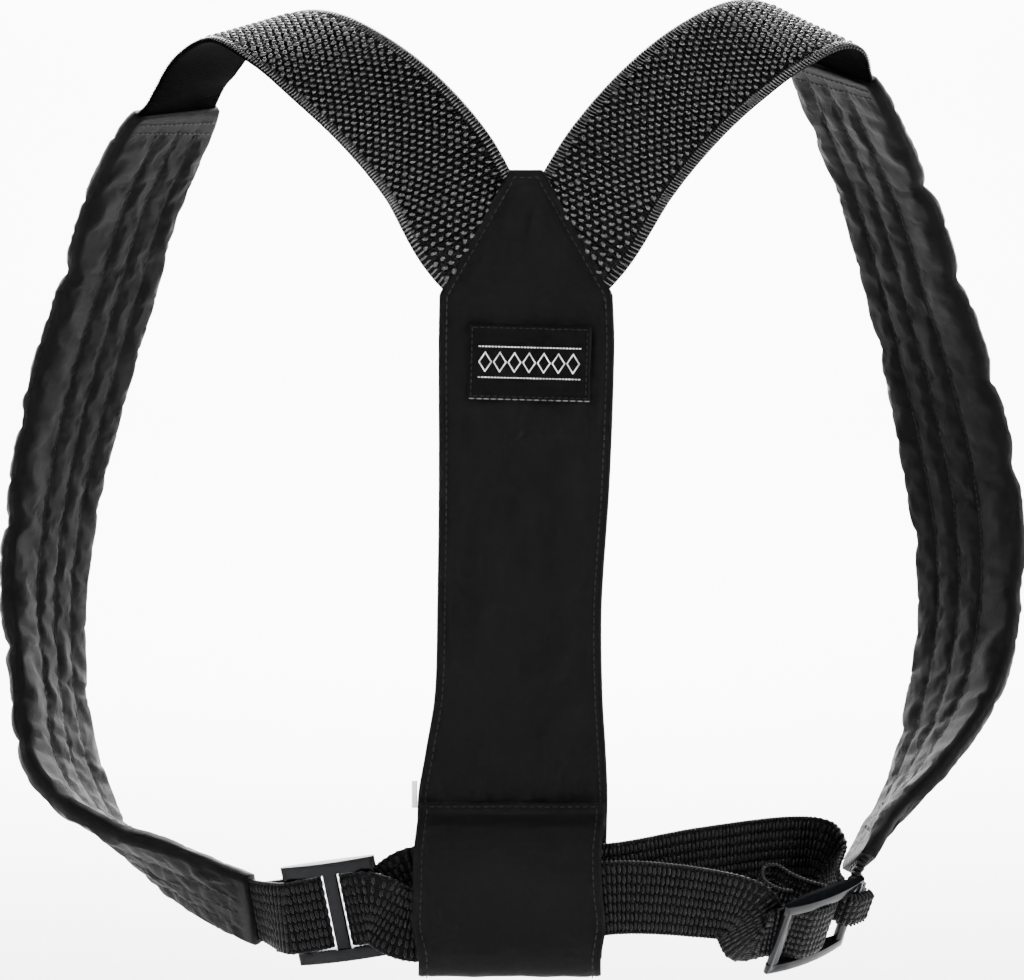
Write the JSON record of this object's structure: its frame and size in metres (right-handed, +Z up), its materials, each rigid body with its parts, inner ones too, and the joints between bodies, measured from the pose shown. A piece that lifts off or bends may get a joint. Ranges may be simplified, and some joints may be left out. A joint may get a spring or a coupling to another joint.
{
  "type": "posture corrector",
  "caption": "Harness with a padded back panel, elastic shoulder straps, quilted underarm pads and a webbing waist belt through sliders.",
  "frame": {"origin": "on the body side of the yoke, on the middle plane of the back panel, between the wearer's shoulder blades", "axes": "+Z up along the wearer's spine, +Y the way the wearer looks, +X to the wearer's right"},
  "size_m": [0.4412, 0.163, 0.4035],
  "materials": {
    "cloth": "smooth black taffeta over thin foam, with lines of quilting",
    "elastic": "black elastic woven in staggered beads, with ribbed selvedges",
    "webbing": "black polyester webbing with fine cross ribs and rope-like edges",
    "plastic": "dark moulded nylon with a satin sheen",
    "label_satin": "black woven satin with a small plain ornament",
    "tag_satin": "plain off-white satin ribbon, folded"
  },
  "bodies": {
    "root": {"back_panel": "cloth", "panel_loop": "cloth", "label": "label_satin", "care_tag": "tag_satin", "shoulder_strap_left": "elastic", "shoulder_strap_right": "elastic", "pad_left": "cloth", "pad_right": "cloth", "end_strap_left": "webbing", "end_strap_right": "webbing", "belt": "webbing", "buckle_left": "plastic", "buckle_right": "plastic"}
  },
  "joints": []
}
